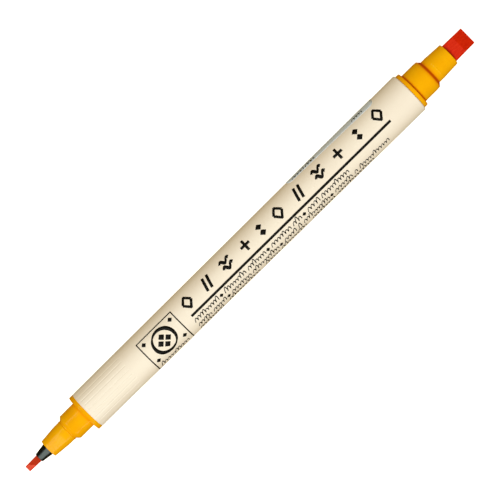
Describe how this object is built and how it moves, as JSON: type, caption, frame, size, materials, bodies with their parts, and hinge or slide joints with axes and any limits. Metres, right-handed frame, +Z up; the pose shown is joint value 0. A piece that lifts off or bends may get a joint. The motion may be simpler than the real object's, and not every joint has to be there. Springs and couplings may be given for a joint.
{
  "type": "calligraphy marker",
  "caption": "Double-ended calligraphy marker with its caps off: a slim ribbed-grip barrel, a narrow chisel nib in a black cone at one end and a wide chisel nib at the other.",
  "frame": {"origin": "half-way along the pen, on the barrel's axis", "axes": "+X along the pen towards the broad nib, +Z up through the flats of both nibs, +Y across"},
  "size_m": [0.1606, 0.012, 0.012],
  "materials": {
    "barrel_plastic": "satin",
    "collar_plastic": "satin",
    "holder_plastic": "gloss",
    "nib_fibre": "matte",
    "reservoir_fibre": "matte",
    "clear_film": "gloss",
    "label_paper": "satin"
  },
  "bodies": {
    "marker_body": {"barrel": "barrel_plastic", "fine_collar": "collar_plastic", "fine_nib_holder": "holder_plastic", "broad_collar": "collar_plastic", "ink_reservoir": "reservoir_fibre", "reservoir_film": "clear_film", "barcode_label": "label_paper"},
    "fine_nib": {"fine_nib": "nib_fibre"},
    "broad_nib": {"broad_nib": "nib_fibre"}
  },
  "joints": [
    {"name": "fine_nib_pull", "type": "slide", "parent": "marker_body", "child": "fine_nib", "axis": [-1, 0, 0], "range_m": [0, 0.0365]},
    {"name": "broad_nib_pull", "type": "slide", "parent": "marker_body", "child": "broad_nib", "axis": [1, 0, 0], "range_m": [0, 0.0335]}
  ]
}
